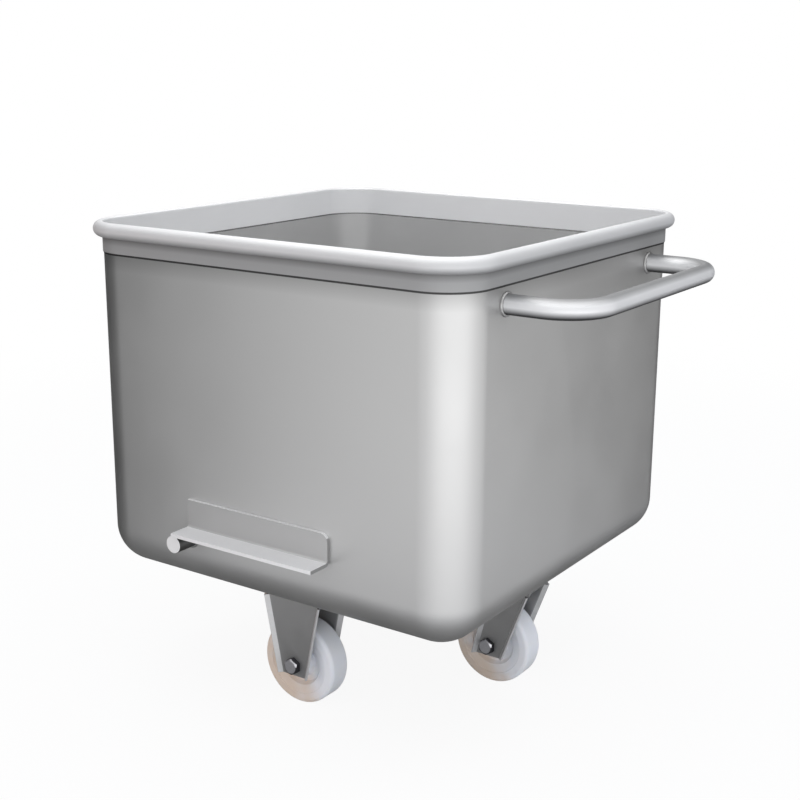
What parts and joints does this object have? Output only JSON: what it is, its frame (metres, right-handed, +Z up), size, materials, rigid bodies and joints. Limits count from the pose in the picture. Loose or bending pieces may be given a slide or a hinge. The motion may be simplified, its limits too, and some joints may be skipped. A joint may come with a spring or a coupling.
{
  "type": "meat trolley bin",
  "caption": "Square stainless steel bin with a rolled rim, a tube push handle and side lifting rails, on fixed and swivel casters with white wheels.",
  "frame": {"origin": "on the floor under the middle of the whole trolley, handle included", "axes": "+X towards the push handle, +Y to the right hand lifting rail, +Z up"},
  "size_m": [0.7684, 0.7142, 0.69],
  "materials": {
    "tub_stainless": "satin ground stainless steel",
    "rim_stainless": "satin stainless steel, smoothed on the roll",
    "tube_stainless": "polished stainless steel tube",
    "rail_stainless": "folded stainless steel plate, satin",
    "fork_stainless": "pressed stainless steel sheet, dull",
    "fastener_stainless": "turned and cold formed stainless steel",
    "ball_steel": "ground and polished steel",
    "polyamide": "moulded natural white polyamide",
    "bearing_polymer": "machined bearing plastic"
  },
  "bodies": {
    "bin": {"tub_wall": "tub_stainless", "tub_base": "tub_stainless", "rim_collar": "rim_stainless", "push_handle": "tube_stainless", "handle_weld_rings": "tube_stainless", "lifting_rail_left": "rail_stainless", "lifting_rail_right": "rail_stainless", "tipping_peg_left": "rail_stainless", "tipping_peg_right": "rail_stainless", "fixed_caster_pads": "fork_stainless", "fixed_pad_studs": "fastener_stainless", "fixed_stud_washers": "fastener_stainless", "fixed_stud_nuts": "fastener_stainless", "swivel_caster_pads": "fork_stainless", "king_studs": "fastener_stainless", "king_washers": "fastener_stainless", "king_nuts": "fastener_stainless", "lower_races": "fork_stainless", "swivel_head_front": "fork_stainless", "swivel_head_rear": "fork_stainless", "swivel_balls_front": "ball_steel", "swivel_balls_rear": "ball_steel", "fork_left": "fork_stainless", "axle_sleeve_left": "fastener_stainless", "thrust_washers_left": "bearing_polymer", "axle_bolt_left": "fastener_stainless", "axle_washer_left": "fastener_stainless", "axle_nut_left": "fastener_stainless", "fork_right": "fork_stainless", "axle_sleeve_right": "fastener_stainless", "thrust_washers_right": "bearing_polymer", "axle_bolt_right": "fastener_stainless", "axle_washer_right": "fastener_stainless", "axle_nut_right": "fastener_stainless"},
    "swivel_front": {"fork_front": "fork_stainless", "axle_sleeve_front": "fastener_stainless", "thrust_washers_front": "bearing_polymer", "axle_bolt_front": "fastener_stainless", "axle_washer_front": "fastener_stainless", "axle_nut_front": "fastener_stainless"},
    "swivel_rear": {"fork_rear": "fork_stainless", "axle_sleeve_rear": "fastener_stainless", "thrust_washers_rear": "bearing_polymer", "axle_bolt_rear": "fastener_stainless", "axle_washer_rear": "fastener_stainless", "axle_nut_rear": "fastener_stainless"},
    "wheel_left": {"wheel_left": "polyamide", "wheel_bush_left": "bearing_polymer"},
    "wheel_right": {"wheel_right": "polyamide", "wheel_bush_right": "bearing_polymer"},
    "wheel_front": {"wheel_front": "polyamide", "wheel_bush_front": "bearing_polymer"},
    "wheel_rear": {"wheel_rear": "polyamide", "wheel_bush_rear": "bearing_polymer"}
  },
  "joints": [
    {"name": "swivel_front", "type": "hinge", "parent": "bin", "child": "swivel_front", "pos_m": [-0.2843, 0, 0.162], "axis": [0, 0, 1], "continuous": true},
    {"name": "swivel_rear", "type": "hinge", "parent": "bin", "child": "swivel_rear", "pos_m": [0.1758, 0, 0.162], "axis": [0, 0, 1], "continuous": true},
    {"name": "spin_left", "type": "hinge", "parent": "bin", "child": "wheel_left", "pos_m": [-0.05425, -0.21905, 0.0625], "axis": [0, 1, 0], "continuous": true},
    {"name": "spin_right", "type": "hinge", "parent": "bin", "child": "wheel_right", "pos_m": [-0.05425, 0.21905, 0.0625], "axis": [0, 1, 0], "continuous": true},
    {"name": "spin_front", "type": "hinge", "parent": "swivel_front", "child": "wheel_front", "pos_m": [-0.2503, 0, 0.0625], "axis": [0, 1, 0], "continuous": true},
    {"name": "spin_rear", "type": "hinge", "parent": "swivel_rear", "child": "wheel_rear", "pos_m": [0.1418, 0, 0.0625], "axis": [0, 1, 0], "continuous": true}
  ]
}
